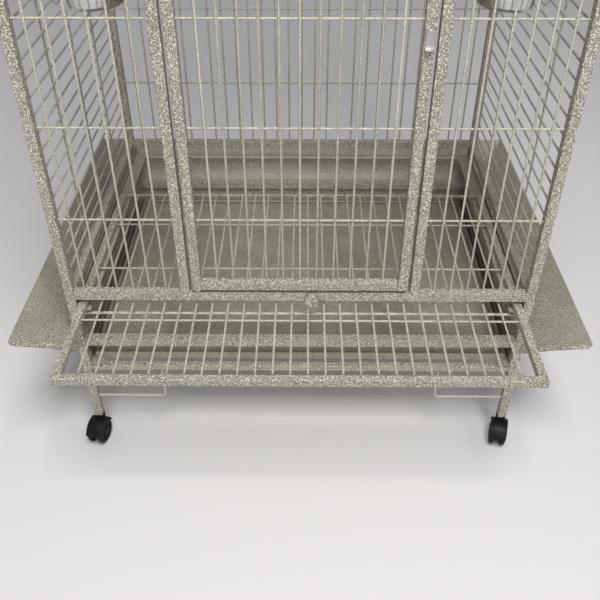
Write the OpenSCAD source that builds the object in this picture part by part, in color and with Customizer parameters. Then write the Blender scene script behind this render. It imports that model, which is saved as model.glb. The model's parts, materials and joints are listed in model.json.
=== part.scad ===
// Dome top bird cage on casters. Millimetres, +Z up, the front faces -Y.
// The origin is on the floor, under the middle of the cage body.

/* [Cage body] */
// Width over the corner posts
cage_w = 813; // [780:1:850]
// Depth over the corner posts
cage_d = 584; // [560:1:610]
// Height from the floor to the top of the dome
cage_h = 1676; // [1640:1:1740]
// Outside of the square frame tube
tube = 16; // [15:0.5:17]
// Wall of every square tube
tube_wall = 1.2; // [0.9:0.1:1.6]
// Diameter of the cage wire
wire_d = 3.6; // [2.8:0.1:4]
// Spacing of the wires, centre to centre
bar_pitch = 28.25; // [27:0.25:30]
// First upright wire of a side panel, from the door jamb
panel_first = 26; // [24:0.5:28]
// First cross wire above the main rails
cross_first = 141; // [134:1:150]
// Spacing of the cross wires
cross_pitch = 160; // [155:1:165]
// Spacing of the stay wires on the side walls and the dome
stay_pitch = 138; // [120:1:150]
// Spacing of the cross wires in the dome's ends
dome_cross_pitch = 136; // [120:1:150]

/* [Levels of the base] */
// Bottom of the legs
leg_z = 62; // [60:1:66]
// Wire braces of the legs
brace_z = 111; // [100:1:125]
// Underside of the bottom rails
bottom_rail_z = 183.5; // [176:0.5:190]
// Outside of the square tube of the bottom rails
bottom_tube = 12.5; // [12:0.5:16]
// Underside of the middle rails
middle_rail_z = 246.5; // [243:0.5:248]
// Guard wire across the front opening
guard_wire_z = 318; // [305:1:323]
// Its diameter
guard_wire_d = 5; // [3.6:0.2:6]
// Underside of the main rails
main_rail_z = 353; // [350:1:359]
// Length of a wire brace along the bottom rail
brace_reach = 130; // [110:1:150]
// Diameter of a wire brace
brace_d = 5; // [4:0.5:6]
// Inside bend radius of a wire brace
brace_bend = 5; // [4:0.5:7]

/* [Main door] */
// Width over the door's stiles
door_w = 368; // [354:1:380]
// Gap between the door and each jamb
door_gap = 5; // [4.5:0.5:6]
// Gap under and over the door
door_sill_gap = 6; // [5:0.5:7]
// Radius of a door pivot
pivot_r = 4; // [3.5:0.25:4.5]
// How far a pivot reaches into its rail
pivot_grip = 4; // [3:0.5:6]
// Height of the door latch above the floor
latch_z = 816; // [790:1:840]

/* [Feeder doors] */
// Underside of the sill below a feeder door
feeder_z = 880; // [870:1:900]
// Clear height between the two sills
feeder_clear = 136; // [125:1:145]
// Outside of the feeder door's tube
feeder_tube = 12; // [11:0.5:13]
// Gap all round a feeder door
feeder_gap = 4; // [3.5:0.5:5]
// Radius of a feeder door pivot
feeder_pivot_r = 3; // [2.5:0.25:3.5]

/* [Latches] */
// Radius of a latch spindle
spindle_r = 4; // [3:0.25:4.25]
// Reach of the main door's tongue from its spindle
tongue_reach = 25; // [23:0.5:27]
// Reach of a feeder door's tongue from its spindle
feeder_tongue_reach = 20; // [18:0.5:22]
// Width of a tongue and of a lever
tongue_w = 12; // [9:0.5:12]
// Thickness of a tongue and of a lever
tongue_t = 3; // [2:0.5:4]

/* [Cups] */
// Outside radius of a cup
cup_r = 55; // [50:1:58]
// Depth of a cup
cup_depth = 60; // [45:1:75]
// Sheet of a cup
cup_wall = 0.8; // [0.6:0.1:1.2]
// Width of a cup's rim
cup_rim = 7; // [5:0.5:9]
// Wire of a cup holder
holder_d = 5; // [4:0.5:6]
// Gap between a cup and its ring
holder_gap = 1; // [0.5:0.1:2]
// Gap between a cup's rim and the sill of its door
cup_sill_gap = 11.5; // [9:0.5:20]

/* [Grate] */
// Outside of the grate's square tube
grate_tube = 13.5; // [12:0.5:14.5]
// Side of the square bar at the back of the grate
grate_bar = 5; // [4:0.5:6]
// Gap between the grate and its runner at each side
grate_side_gap = 3; // [1:0.5:5]
// Gap behind the grate when it is pushed home
grate_back_gap = 5; // [4:1:30]
// Spacing of the grate's wires
grate_pitch = 27.7; // [27:0.1:28.5]
// How far the grate is pulled out
grate_pull = 187.5; // [120:0.5:200]
// Gap between the grate and the main rail above it
grate_gap = 8; // [6:0.5:9]
// First cross wire of the grate, from the inside of its front tube
grate_cross_first = 136.5; // [120:0.5:140]
// Spacing of the grate's cross wires
grate_cross_pitch = 150; // [120:1:155]
// Radius of the lock knob
knob_r = 10.5; // [8:0.5:12]
// Thickness of the lock knob
knob_t = 11; // [6:1:14]
// Knob to the right of the middle
knob_x = 20; // [19.5:0.5:21.5]
// Reach of the knob's tongue
lock_reach = 24; // [21:0.5:24.5]
// Width of the knob's tongue
lock_w = 6; // [4:0.5:6.5]
// Thickness of the knob's tongue
lock_t = 2; // [1.5:0.5:3]

/* [Tray] */
// Gap between the tray and the posts at each side
tray_side_gap = 8.5; // [6:0.5:14]
// Gap behind the tray
tray_back_gap = 3.7; // [2:0.1:20]
// Height of the tray
tray_h = 15.5; // [14:0.5:30]
// Gap between the bottom rails and the tray
tray_gap = 5; // [2:0.5:6]
// Sheet of the tray and of the runners
sheet_t = 1.2; // [1:0.1:1.5]
// Width of a runner's shelf
runner_w = 24; // [20:0.5:28]
// Height of a runner's web
runner_h = 16; // [12:0.5:18]

/* [Seed guards] */
// How far a guard reaches outwards
guard_run = 81; // [70:1:100]
// How far a guard rises
guard_rise = 79; // [60:1:95]
// Sheet of a guard
guard_t = 1.2; // [1:0.1:1.5]
// Folded hem along a guard's outer edge
guard_hem = 8; // [6:0.5:12]
// Flange that hangs from a guard's front end
guard_drop = 17; // [12:0.5:20]
// Screws of each guard
guard_screw_n = 3; // [2:1:4]
// Spacing of the screws
guard_screw_pitch = 220; // [150:1:240]
// Radius of a screw's head
screw_head_r = 3.2; // [2.8:0.1:3.4]
// Radius of a screw's shank
screw_r = 2; // [1.5:0.1:2.2]

/* [Casters] */
// Radius of a wheel
wheel_r = 25; // [23:0.5:25.5]
// Width over a pair of wheels
wheel_w = 31; // [28:1:40]
// Trail of the axle behind the stem
caster_trail = 13; // [11:0.5:17]
// Radius of the stem
stem_r = 5; // [4:0.25:5.5]
// Grip of the stem in its plug
stem_grip = 30; // [24:1:36]
// Radius of the axle
axle_r = 3; // [2.5:0.25:3.5]
// Thickness of the web between the wheels
web_t = 12; // [10:0.5:13]
// Way the front left caster trails, in degrees from +X
front_left_turn = 258; // [0:1:359]
// Way the front right caster trails
front_right_turn = 256; // [0:1:359]
// Way the rear left caster trails
rear_left_turn = 75; // [0:1:359]
// Way the rear right caster trails
rear_right_turn = 110; // [0:1:359]

/* [Perches and toy hook] */
// Radius of a perch
perch_r = 12.5; // [10:0.5:14]
// Side wires below the low perch
perch_low_n = 13; // [12:1:14]
// Side wires below the high perch
perch_high_n = 22; // [20:1:22]
// Low perch behind the middle
perch_low_y = 60; // [40:1:90]
// High perch in front of the middle
perch_high_y = 70; // [40:1:80]
// Radius of a perch bolt
bolt_r = 3; // [2.5:0.25:3.5]
// Radius of a perch washer
washer_r = 16; // [15:0.5:18]
// Radius of the toy hook's hole
hook_r = 6; // [5:0.25:7]
// Thickness of the toy hook
hook_t = 4; // [3:0.25:5]
// Toy hook behind the middle stay wire
hook_y = 30; // [15:1:60]

/* [Hidden] */
$fn = 48;

// Colours
coat = "#b7b3a5";
wire_coat = "#c2beb1";
tray_coat = "#aaa698";
black = "#1b1b1c";
steel = "#c9ccd0";
wood = "#c69c6b";

// Clearances that tie one piece to the next
weld_gap = 0.05;      // between crossing wires
seat_gap = 0.3;       // between a piece and the seat it rests on
tray_front_gap = 0.5; // between the tray and the plane of the posts' inner faces
fit_gap = 0.05;       // radial, between a shaft and its bore
plug_gap = 0.1;       // between a plug and the tube round it
mitre_gap = 0.6;      // between the ends of two seed guards
hole_over = 1;        // how far a drill runs past the wall it cuts

// Frame lines
post_x = cage_w / 2 - tube / 2;
post_y = cage_d / 2 - tube / 2;
inner_x = cage_w / 2 - tube;
inner_y = cage_d / 2 - tube;
spring_z = cage_h - cage_w / 2;
wall_z0 = main_rail_z + tube;
wall_z1 = spring_z - tube;
wire_r = wire_d / 2;
cross_step = wire_d + weld_gap;
cross_margin = 40;    // least height between the last cross wire and the shoulder rails
pivot_plug = 12;      // length of a pivot's plug in its stile

// Main door
jamb_x = door_w / 2 + door_gap + tube / 2;
stile_x = door_w / 2 - tube / 2;
door_inner_x = stile_x - tube / 2;
door_z0 = wall_z0 + door_sill_gap;
door_z1 = wall_z1 - door_sill_gap;

// Feeder doors
sill_z = [feeder_z + feeder_tube / 2, feeder_z + feeder_clear + 1.5 * feeder_tube];
feeder_z0 = feeder_z + feeder_tube + feeder_gap;
feeder_z1 = feeder_z + feeder_tube + feeder_clear - feeder_gap;
feeder_hinge_x = inner_x - feeder_gap - feeder_tube / 2;
feeder_free_x = jamb_x + tube / 2 + feeder_gap + feeder_tube / 2;
feeder_mid_z = (feeder_z0 + feeder_z1) / 2;
feeder_inside = [feeder_free_x + feeder_tube / 2 + weld_gap, feeder_hinge_x - feeder_tube / 2 - weld_gap];

// Wire places
door_ks = floor((door_w / 2 - tube - wire_d) / bar_pitch);
door_xs = [for (k = [-door_ks : door_ks]) k * bar_pitch];
panel_xs = [for (x = [jamb_x + tube / 2 + panel_first : bar_pitch : inner_x - 2 * wire_d]) x];
feeder_xs = [for (x = panel_xs) if (x < feeder_hinge_x - feeder_tube / 2 - 2 * wire_d) x];
rear_ks = floor((inner_x - 2 * wire_d) / bar_pitch);
rear_xs = [for (k = [-rear_ks : rear_ks]) k * bar_pitch];
side_n = floor((wall_z1 - wall_z0 - wire_d) / bar_pitch);
side_zs = [for (k = [1 : side_n]) wall_z0 + k * bar_pitch];
cross_zs = [for (z = [wall_z0 + cross_first : cross_pitch : wall_z1 - cross_margin]) z];
panel_cross_zs = [for (z = cross_zs)
    if (z < feeder_z - 2 * wire_d || z > feeder_z + feeder_clear + 2 * feeder_tube + 2 * wire_d) z];
stay_ys = [-stay_pitch, 0, stay_pitch];
stay_x = post_x + cross_step;

// Dome
arch_r = cage_w / 2;
roof_r = arch_r - tube / 2;
roof_n = round(PI * roof_r / bar_pitch);
dome_cross_hs = [dome_cross_pitch, 2 * dome_cross_pitch];

// Grate
grate_w = 2 * (inner_x - sheet_t - grate_side_gap);
grate_l = cage_d - tube - grate_back_gap;
grate_top = main_rail_z - grate_gap;
grate_front = -cage_d / 2 - grate_pull;
grate_wire_ks = floor(((grate_w - 2 * grate_tube) / 2 - wire_d) / grate_pitch - 0.5);
grate_wire_xs = [for (k = [-grate_wire_ks - 1 : grate_wire_ks]) (k + 0.5) * grate_pitch];
grate_wire_z = grate_top - wire_r;
grate_inner = [grate_front + grate_tube, grate_front + grate_l - grate_bar];
grate_shelf = grate_top - grate_tube - seat_gap;
grate_cross_ys = [for (y = [grate_inner[0] + grate_cross_first : grate_cross_pitch :
                            grate_inner[1] - 2 * wire_d]) y];

// Tray
tray_w = 2 * (inner_x - tray_side_gap);
tray_z = bottom_rail_z + bottom_tube + tray_gap;
tray_front = -inner_y + tray_front_gap;
tray_l = inner_y - tray_back_gap - tray_front;
tray_shelf = tray_z - seat_gap;

// Lock knob on the front main rail
lock_z = main_rail_z + tube / 2;
lock_face = cage_d / 2 + seat_gap;

// Cups
holder_ring_r = cup_r + holder_gap + holder_d / 2;
cup_x = (inner_x + jamb_x + tube / 2) / 2;
cup_y = -(post_y - feeder_tube / 2) + cup_sill_gap + cup_r + cup_rim;
holder_z = sill_z[0];
cup_top = holder_z + holder_d / 2 + seat_gap + cup_wall;

// Casters
socket_flange = 3;
boss_r = 9.5;
boss_gap = 2;         // over the boss, and between the boss and the wheels
boss_top = leg_z - socket_flange - boss_gap;
boss_foot = 2 * wheel_r + boss_gap;
hood_r = wheel_r + 3;
hood_gap = 1.2;
hood_foot = 6;        // lowest edge of the hood, above the axle

// Square tube, upright, across and from front to back
module tube_section(size) {
    difference() {
        square(size, center = true);
        square(size - 2 * tube_wall, center = true);
    }
}
module tube_z(x, y, z0, z1, size = tube) {
    translate([x, y, z0]) linear_extrude(z1 - z0) tube_section(size);
}
module tube_x(x0, x1, y, z, size = tube) {
    translate([x0, y, z]) rotate([90, 0, 90]) linear_extrude(x1 - x0) tube_section(size);
}
module tube_y(x, y0, y1, z, size = tube) {
    translate([x, y1, z]) rotate([90, 0, 0]) linear_extrude(y1 - y0) tube_section(size);
}

// Wire, upright, across and from front to back
module wire_z(x, y, z0, z1, d = wire_d) {
    translate([x, y, z0]) cylinder(d = d, h = z1 - z0);
}
module wire_x(x0, x1, y, z, d = wire_d) {
    translate([x0, y, z]) rotate([0, 90, 0]) cylinder(d = d, h = x1 - x0);
}
module wire_y(x, y0, y1, z, d = wire_d) {
    translate([x, y1, z]) rotate([90, 0, 0]) cylinder(d = d, h = y1 - y0);
}

// Four rails of one level, with its underside at z
module rail_ring(z, size = tube) {
    for (s = [-1, 1]) {
        tube_x(-inner_x, inner_x, s * post_y, z + size / 2, size);
        tube_y(s * post_x, -inner_y, inner_y, z + size / 2, size);
    }
}

// Frame
module corner_posts() {
    color(coat)
        for (sx = [-1, 1], sy = [-1, 1])
            tube_z(sx * post_x, sy * post_y, leg_z, spring_z);
}
module main_rails() {
    color(coat) difference() {
        rail_ring(main_rail_z);
        translate([-stile_x, -post_y, wall_z0 - 2 * tube_wall])
            cylinder(r = pivot_r + fit_gap, h = 3 * tube_wall);
        translate([knob_x, -inner_y + hole_over, lock_z]) rotate([90, 0, 0])
            cylinder(r = spindle_r + fit_gap, h = tube + 2 * hole_over);
    }
}
module shoulder_rails() {
    color(coat) difference() {
        rail_ring(wall_z1);
        translate([-stile_x, -post_y, wall_z1 - tube_wall])
            cylinder(r = pivot_r + fit_gap, h = 3 * tube_wall);
    }
}
module door_jambs() {
    color(coat)
        for (s = [-1, 1])
            tube_z(s * jamb_x, -post_y, wall_z0, wall_z1);
}
module feeder_sills() {
    color(coat) difference() {
        for (s = [-1, 1], z = sill_z)
            tube_x(s > 0 ? jamb_x + tube / 2 : -inner_x, s > 0 ? inner_x : -jamb_x - tube / 2,
                   -post_y, z, feeder_tube);
        for (s = [-1, 1])
            translate([s * feeder_hinge_x, -post_y, feeder_z + feeder_tube - 2 * tube_wall])
                cylinder(r = feeder_pivot_r + fit_gap, h = feeder_clear + 4 * tube_wall);
    }
}
module middle_rails() {
    color(coat) difference() {
        rail_ring(middle_rail_z);
        for (s = [-1, 1], y = guard_screw_places)
            translate([s * (cage_w / 2 - tube_wall - hole_over), y, screw_z]) rotate([0, s * 90, 0])
                cylinder(r = screw_r + fit_gap, h = tube_wall + 2 * hole_over);
        for (x = guard_screw_places)
            translate([x, cage_d / 2 + hole_over, screw_z]) rotate([90, 0, 0])
                cylinder(r = screw_r + fit_gap, h = tube_wall + 2 * hole_over);
    }
}
module bottom_rails() {
    color(coat) rail_ring(bottom_rail_z, bottom_tube);
}

// Sheets that close the sides and the back between the bottom and the middle rails
module base_skirts() {
    z = bottom_rail_z + bottom_tube;
    h = middle_rail_z - z;
    color(coat) {
        for (s = [-1, 1])
            translate([s * post_x - sheet_t / 2, -inner_y, z]) cube([sheet_t, 2 * inner_y, h]);
        translate([-inner_x, post_y - sheet_t / 2, z]) cube([2 * inner_x, sheet_t, h]);
    }
}

// Wires of the walls
module front_panel_wires() {
    color(wire_coat)
        for (s = [-1, 1], x = panel_xs) {
            wire_z(s * x, -post_y, wall_z0, feeder_z);
            wire_z(s * x, -post_y, feeder_z + feeder_clear + 2 * feeder_tube, wall_z1);
        }
}
module front_cross_wires() {
    color(wire_coat) {
        for (z = panel_cross_zs) {
            wire_x(-inner_x, -jamb_x - tube / 2, -post_y + cross_step, z);
            wire_x(jamb_x + tube / 2, inner_x, -post_y + cross_step, z);
        }
        wire_x(-inner_x, inner_x, -post_y, guard_wire_z, guard_wire_d);
    }
}
module rear_wall_wires() {
    color(wire_coat)
        for (x = rear_xs)
            wire_z(x, post_y, wall_z0, wall_z1);
}
module rear_cross_wires() {
    color(wire_coat)
        for (z = cross_zs)
            wire_x(-inner_x, inner_x, post_y - cross_step, z);
    color(wire_coat) wire_x(-inner_x, inner_x, post_y, grate_shelf - sheet_t - wire_d);
}
module side_wall_wires(s) {
    color(wire_coat)
        for (z = side_zs)
            wire_y(s * post_x, -inner_y, inner_y, z);
}
module left_wall_wires() {
    side_wall_wires(-1);
}
module right_wall_wires() {
    side_wall_wires(1);
}
module side_stay_wires() {
    color(wire_coat)
        for (s = [-1, 1], y = stay_ys)
            wire_z(s * stay_x, y, wall_z0, wall_z1);
}

// Dome: two arches, upright wires in them, and straight roof wires from arch to arch
module dome_arch(s) {
    color(coat)
        translate([0, s * post_y, spring_z]) rotate([90, 0, 0])
            rotate_extrude(angle = 180, $fn = 96)
                translate([roof_r, 0]) tube_section(tube);
}
module dome_front_arch() {
    dome_arch(-1);
}
module dome_rear_arch() {
    dome_arch(1);
}
function arch_height(x) = sqrt(pow(arch_r - tube, 2) - pow(abs(x) + wire_r, 2)) - seat_gap;
module dome_end_wires() {
    color(wire_coat)
        for (s = [-1, 1], x = rear_xs)
            if (arch_height(x) > 4 * wire_d)
                wire_z(x, s * post_y, spring_z, spring_z + arch_height(x));
}
module dome_cross_wires() {
    color(wire_coat)
        for (s = [-1, 1], h = dome_cross_hs)
            wire_x(-arch_height(h), arch_height(h), s * (post_y - cross_step), spring_z + h);
}
module dome_roof_wires() {
    color(wire_coat)
        for (k = [1 : roof_n - 1])
            wire_y(-roof_r * cos(180 * k / roof_n), -inner_y, inner_y,
                   spring_z + roof_r * sin(180 * k / roof_n));
}
module dome_stay_wires() {
    color(wire_coat)
        for (y = stay_ys)
            translate([0, y, spring_z]) rotate([90, 0, 0])
                rotate_extrude(angle = 180, $fn = 96)
                    translate([stay_x, 0]) circle(wire_r);
}

// Runners: an angle of sheet at each side, with its shelf at z, from the front as far as back
module runner(s, z, back) {
    translate([0, back, 0]) rotate([90, 0, 0]) linear_extrude(back + cage_d / 2)
        mirror([s > 0 ? 0 : 1, 0])
            polygon([[inner_x, z - sheet_t], [inner_x, z + runner_h],
                     [inner_x - sheet_t, z + runner_h], [inner_x - sheet_t, z],
                     [inner_x - runner_w, z], [inner_x - runner_w, z - sheet_t]]);
}
module grate_runners() {
    color(coat)
        for (s = [-1, 1])
            runner(s, grate_shelf, cage_d / 2);
}
module tray_runners() {
    color(coat)
        for (s = [-1, 1])
            runner(s, tray_shelf, post_y - sheet_t / 2);
}

// Wire braces: along from the leg, round a bend, and up to the bottom rail
module brace(sx, sy) {
    bend_x = inner_x - brace_reach;
    bend_r = brace_bend + brace_d / 2;
    translate([0, sy * post_y, 0]) mirror([sx > 0 ? 0 : 1, 0, 0]) {
        wire_x(bend_x + bend_r, inner_x, 0, brace_z, brace_d);
        translate([bend_x + bend_r, 0, brace_z + bend_r]) rotate([90, 180, 0])
            rotate_extrude(angle = 90) translate([bend_r, 0]) circle(d = brace_d);
        wire_z(bend_x, 0, brace_z + bend_r, bottom_rail_z, brace_d);
    }
}
module leg_braces() {
    color(wire_coat)
        for (sx = [-1, 1], sy = [-1, 1])
            brace(sx, sy);
}

// Seed guards
guard_flange = 12.5;  // height of the flange that is screwed to the rail
guard_flange_top = middle_rail_z + tube;
guard_foot = guard_flange_top - guard_flange;
guard_angle = atan2(guard_rise, guard_run);
screw_head_t = 2;
screw_end = 3;        // length of a screw inside the tube
screw_z = guard_flange_top - screw_head_r - seat_gap;
guard_screw_places = [for (k = [0 : guard_screw_n - 1])
    (k - (guard_screw_n - 1) / 2) * guard_screw_pitch];

// Section of a guard: u outwards from the rail's face, v upwards
module guard_section() {
    c = cos(guard_angle);
    s = sin(guard_angle);
    e = guard_t * (1 + s) / c;
    tip = [guard_run, guard_foot + guard_rise];
    polygon([[0, guard_flange_top], [0, guard_foot], tip, tip + guard_t * [-s, c],
             [guard_t, guard_foot + guard_t * c + e * s], [guard_t, guard_flange_top]]);
    fold = guard_hem * [c, s];
    inside = guard_t / 2 * [-s, c];
    under = guard_t * [s, -c];
    polygon([tip + inside, tip - fold + inside, tip - fold + under, tip + under]);
}

// Guard on the right-hand side, its front end with the hanging flange
module side_guard() {
    reach = guard_run + 2 * guard_t;
    end = guard_run * sqrt(2);
    intersection() {
        translate([cage_w / 2, cage_d, 0]) rotate([90, 0, 0]) linear_extrude(2 * cage_d)
            guard_section();
        translate([cage_w / 2, 0, 0]) linear_extrude(spring_z)
            polygon([[0, -cage_d / 2], [reach, -cage_d / 2 - reach],
                     [reach, cage_d / 2 + reach - mitre_gap], [0, cage_d / 2 - mitre_gap]]);
    }
    translate([cage_w / 2, -cage_d / 2, 0]) rotate([0, 0, -45]) translate([0, guard_t, 0])
        rotate([90, 0, 0]) linear_extrude(guard_t)
            polygon([[2, guard_foot + guard_t / 3], [2, guard_foot - guard_drop],
                     [end - guard_drop / 2, guard_foot + guard_rise - 0.8 * guard_drop],
                     [end, guard_foot + guard_rise - guard_drop / 3],
                     [end, guard_foot + guard_rise + guard_t / 3]]);
}
module guard_screw_holes(s) {
    for (y = guard_screw_places)
        translate([s * (cage_w / 2 - hole_over), y, screw_z]) rotate([0, s * 90, 0])
            cylinder(r = screw_r + fit_gap, h = guard_t + 2 * hole_over);
}
module right_seed_guard() {
    color(coat) difference() {
        side_guard();
        guard_screw_holes(1);
    }
}
module left_seed_guard() {
    color(coat) difference() {
        mirror([1, 0, 0]) side_guard();
        guard_screw_holes(-1);
    }
}
module rear_seed_guard() {
    reach = guard_run + 2 * guard_t;
    color(coat) difference() {
        intersection() {
            translate([-cage_w, cage_d / 2, 0]) rotate([90, 0, 90]) linear_extrude(2 * cage_w)
                guard_section();
            translate([0, cage_d / 2, 0]) linear_extrude(spring_z)
                polygon([[-cage_w / 2, 0], [cage_w / 2, 0],
                         [cage_w / 2 + reach, reach], [-cage_w / 2 - reach, reach]]);
        }
        for (x = guard_screw_places)
            translate([x, cage_d / 2 + guard_t + hole_over, screw_z]) rotate([90, 0, 0])
                cylinder(r = screw_r + fit_gap, h = guard_t + 2 * hole_over);
    }
}

// Screw with its head on a guard's flange, pointing along -Z into the rail
module guard_screw() {
    translate([0, 0, guard_t]) cylinder(r = screw_head_r, h = screw_head_t);
    translate([0, 0, -tube_wall - screw_end])
        cylinder(r = screw_r, h = guard_t + tube_wall + screw_end);
}
module guard_screws() {
    color(steel) {
        for (s = [-1, 1], y = guard_screw_places)
            translate([s * cage_w / 2, y, screw_z]) rotate([0, s * 90, 0]) guard_screw();
        for (x = guard_screw_places)
            translate([x, cage_d / 2, screw_z]) rotate([-90, 0, 0]) guard_screw();
    }
}

// Plugs in the legs that hold the caster stems
module caster_sockets() {
    color(black)
        for (sx = [-1, 1], sy = [-1, 1])
            translate([sx * post_x, sy * post_y, leg_z]) difference() {
                union() {
                    translate([0, 0, -socket_flange / 2])
                        cube([tube, tube, socket_flange], center = true);
                    translate([0, 0, (stem_grip + 4) / 2])
                        cube([tube - 2 * tube_wall - 2 * plug_gap, tube - 2 * tube_wall - 2 * plug_gap,
                              stem_grip + 4], center = true);
                }
                translate([0, 0, -socket_flange - 1])
                    cylinder(r = stem_r + fit_gap, h = stem_grip + socket_flange + 3);
            }
}

// Perches, clamped between the side wires
perch_low_z = side_zs[perch_low_n] + bar_pitch / 2;
perch_high_z = side_zs[perch_high_n] + bar_pitch / 2;
perch_end = post_x - wire_r - weld_gap;
module perches() {
    color(wood) {
        wire_x(-perch_end, perch_end, perch_low_y, perch_low_z, 2 * perch_r);
        wire_x(-perch_end, perch_end, -perch_high_y, perch_high_z, 2 * perch_r);
    }
}

// Bolt, washer and wing nut, outwards along +Z from the side wires' outer faces
module perch_fastener() {
    washer_t = 1.5;
    nut_t = 5;
    rotate([180, 0, 0]) cylinder(r = bolt_r, h = wire_d + weld_gap);
    translate([0, 0, weld_gap]) cylinder(r = washer_r, h = washer_t);
    translate([0, 0, weld_gap + washer_t]) cylinder(r = 2 * bolt_r, h = nut_t);
    for (a = [0, 180])
        rotate(a) translate([1.5 * bolt_r, 0, weld_gap + washer_t + nut_t / 2]) rotate([90, 0, 0])
            translate([0, 0, -1]) linear_extrude(2)
                polygon([[0, 0], [0, 2], [4, 8], [9, 10], [9, 5], [4, 0]]);
    cylinder(r = bolt_r, h = washer_t + nut_t + 4);
}
module perch_fasteners() {
    color(steel)
        for (s = [-1, 1], p = [[perch_low_y, perch_low_z], [-perch_high_y, perch_high_z]])
            translate([s * (post_x + wire_r), p[0], p[1]]) rotate([0, s * 90, 0]) perch_fastener();
}

// Toy hook: an eye plate that hangs on the top roof wire
roof_top_k = round(roof_n / 2);
roof_top_x = -roof_r * cos(180 * roof_top_k / roof_n);
roof_top_z = spring_z + roof_r * sin(180 * roof_top_k / roof_n);
hook_drop = 26;
module toy_hook() {
    color(coat) translate([roof_top_x, hook_y + hook_t / 2, roof_top_z]) rotate([90, 0, 0])
        linear_extrude(hook_t) difference() {
            union() {
                circle(wire_r + 3);
                translate([-wire_r - 3, -hook_drop]) square([2 * wire_r + 6, hook_drop]);
                translate([0, -hook_drop]) circle(hook_r + 5);
            }
            circle(wire_r + weld_gap);
            translate([0, -hook_drop]) circle(hook_r);
        }
}

// Cup holders: a ring and two arms to the sill of the feeder door
module cup_holder(s) {
    translate([s * cup_x, cup_y, holder_z]) {
        rotate_extrude($fn = 96) translate([holder_ring_r, 0]) circle(d = holder_d, $fn = 24);
        for (a = [-1, 1])
            wire_y(a * holder_ring_r / 2, -(post_y - feeder_tube / 2) - cup_y,
                   -holder_ring_r * sin(60), 0, holder_d);
    }
}
module cup_holders() {
    color(coat)
        for (s = [-1, 1])
            cup_holder(s);
}

// Cup with a flat rim that rests on its ring
module cup(s) {
    color(steel) translate([s * cup_x, cup_y, cup_top]) rotate_extrude($fn = 96)
        polygon([[0, -cup_depth], [cup_r - 6, -cup_depth], [cup_r, -cup_depth + 6], [cup_r, -cup_wall],
                 [cup_r + cup_rim, -cup_wall], [cup_r + cup_rim, 0], [cup_r - cup_wall, 0],
                 [cup_r - cup_wall, -cup_depth + 6 + cup_wall / 2],
                 [cup_r - 6 - cup_wall / 2, -cup_depth + cup_wall], [0, -cup_depth + cup_wall]]);
}
module left_cup() {
    cup(-1);
}
module right_cup() {
    cup(1);
}

// Main door
module door_frame() {
    color(coat) difference() {
        union() {
            for (s = [-1, 1])
                tube_z(s * stile_x, -post_y, door_z0, door_z1);
            for (z = [door_z0 + tube / 2, door_z1 - tube / 2])
                tube_x(-door_inner_x + weld_gap, door_inner_x - weld_gap, -post_y, z);
        }
        translate([stile_x, -inner_y + hole_over, latch_z]) rotate([90, 0, 0])
            cylinder(r = spindle_r + fit_gap, h = tube + 2 * hole_over);
    }
}
module door_wires() {
    color(wire_coat)
        for (x = door_xs)
            wire_z(x, -post_y, door_z0 + tube, door_z1 - tube);
}
module door_cross_wires() {
    color(wire_coat)
        for (z = cross_zs)
            wire_x(-door_inner_x, door_inner_x, -post_y + cross_step, z);
}

// Plug in a stile with its pivot, upwards from the stile's end
module pivot(size, r, gap, collar) {
    inside = size - 2 * tube_wall - 2 * plug_gap;
    translate([-inside / 2, -inside / 2, -pivot_plug]) cube([inside, inside, pivot_plug]);
    cylinder(r = r, h = gap + tube_wall + pivot_grip);
    if (collar)
        cylinder(r = 1.6 * r, h = gap - seat_gap);
}
module door_pivots() {
    color(steel) translate([-stile_x, -post_y, 0]) {
        translate([0, 0, door_z1]) pivot(tube, pivot_r, door_sill_gap, false);
        translate([0, 0, door_z0]) mirror([0, 0, 1]) pivot(tube, pivot_r, door_sill_gap, true);
    }
}

// Latch: lever in front, spindle through the stile, tongue behind it. It hangs down at rest.
module latch(size, reach) {
    front = size / 2 + seat_gap;
    back = tube / 2 + seat_gap;
    rotate([90, 0, 0]) translate([0, 0, -back - tongue_t])
        cylinder(r = spindle_r, h = back + front + 2 * tongue_t);
    translate([0, -front - tongue_t, 0]) latch_blade(reach);
    translate([0, back, 0]) latch_blade(reach);
}
module latch_blade(reach) {
    translate([-tongue_w / 2, 0, -reach]) cube([tongue_w, tongue_t, reach]);
    rotate([-90, 0, 0]) cylinder(d = tongue_w, h = tongue_t);
}
module door_latch() {
    color(steel) translate([stile_x, -post_y, latch_z]) latch(tube, tongue_reach);
}

// Feeder doors, each with its two pivots
module feeder_door(s) {
    color(coat) difference() {
        union() {
            for (x = [feeder_free_x, feeder_hinge_x])
                tube_z(s * x, -post_y, feeder_z0, feeder_z1, feeder_tube);
            for (z = [feeder_z0 + feeder_tube / 2, feeder_z1 - feeder_tube / 2])
                tube_x(s > 0 ? feeder_inside[0] : -feeder_inside[1],
                       s > 0 ? feeder_inside[1] : -feeder_inside[0], -post_y, z, feeder_tube);
        }
        translate([s * feeder_free_x, -post_y + tube / 2, feeder_mid_z]) rotate([90, 0, 0])
            cylinder(r = spindle_r + fit_gap, h = tube);
    }
    color(wire_coat)
        for (x = feeder_xs)
            wire_z(s * x, -post_y, feeder_z0 + feeder_tube + weld_gap,
                   feeder_z1 - feeder_tube - weld_gap);
    color(steel) translate([s * feeder_hinge_x, -post_y, 0]) {
        translate([0, 0, feeder_z1]) pivot(feeder_tube, feeder_pivot_r, feeder_gap, false);
        translate([0, 0, feeder_z0]) mirror([0, 0, 1])
            pivot(feeder_tube, feeder_pivot_r, feeder_gap, true);
    }
}
module left_feeder_door() {
    feeder_door(-1);
}
module right_feeder_door() {
    feeder_door(1);
}
module feeder_latch(s) {
    color(steel) translate([s * feeder_free_x, -post_y, feeder_mid_z])
        latch(tube, feeder_tongue_reach);
}
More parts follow.
